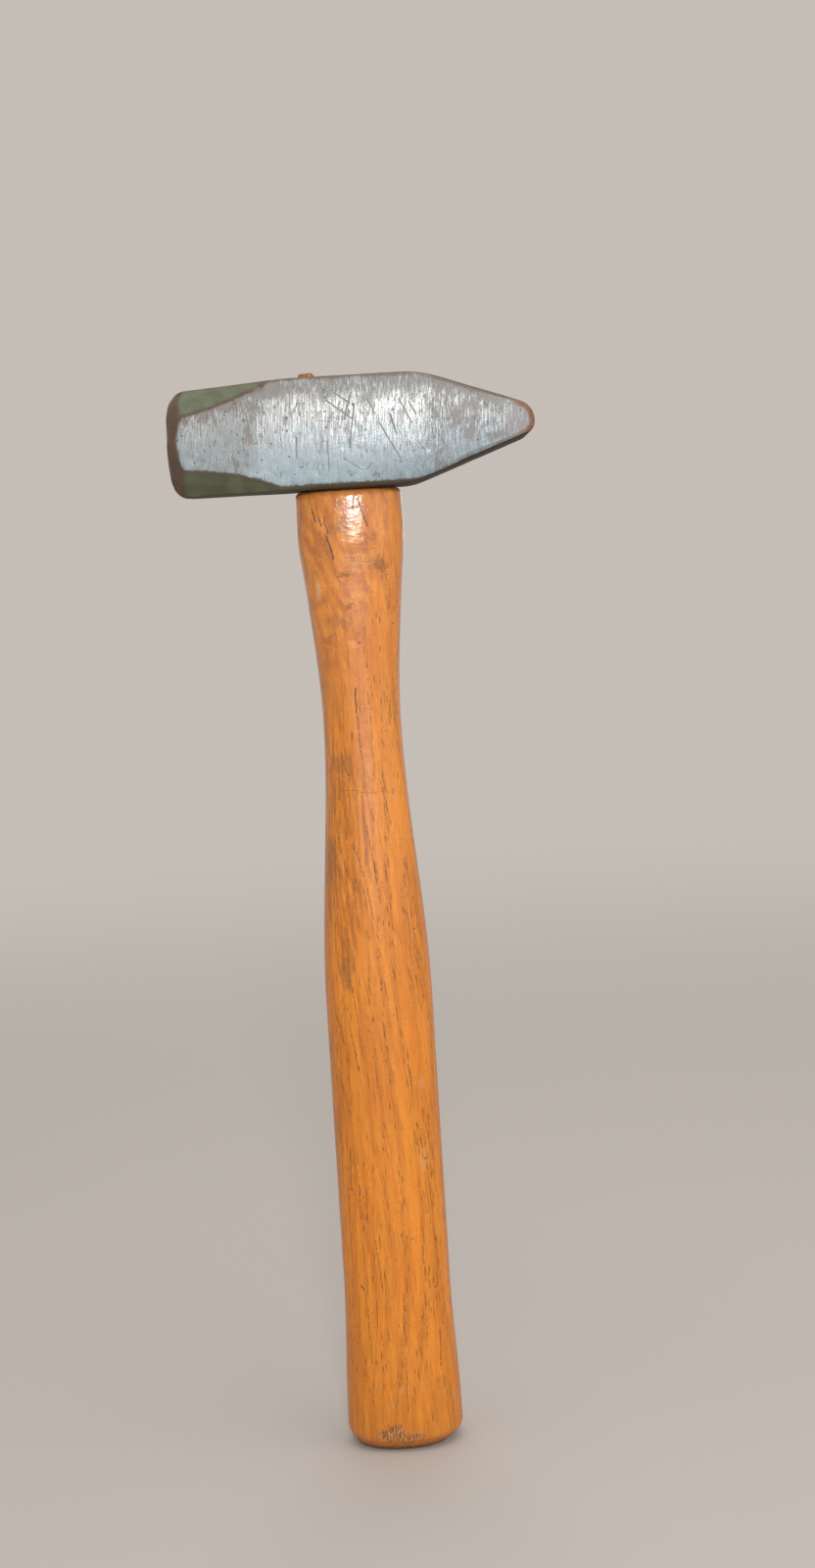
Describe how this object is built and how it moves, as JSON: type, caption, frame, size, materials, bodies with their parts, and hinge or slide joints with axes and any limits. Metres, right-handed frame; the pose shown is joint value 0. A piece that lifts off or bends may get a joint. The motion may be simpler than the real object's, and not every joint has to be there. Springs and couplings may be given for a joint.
{
  "type": "cross-peen hammer",
  "caption": "Heavy cross-peen engineer's hammer: a forged steel head with an octagonal striking end and a wedge peen, held on an oval flared hickory handle by wedges.",
  "frame": {"origin": "centre of the flat end of the handle's butt", "axes": "+Z along the handle from the butt to the head, +X along the head towards the peen, so the striking face looks along -X, and the cheeks look along -Y and +Y"},
  "size_m": [0.1269, 0.0406, 0.3763],
  "materials": {
    "head_steel": "satin",
    "handle_hickory": "satin",
    "wedge_wood": "matte",
    "wedge_steel": "satin"
  },
  "bodies": {
    "root": {"hammer_head": "head_steel", "handle": "handle_hickory", "wood_wedge": "wedge_wood", "steel_wedge_face_side": "wedge_steel", "steel_wedge_peen_side": "wedge_steel"}
  },
  "joints": []
}
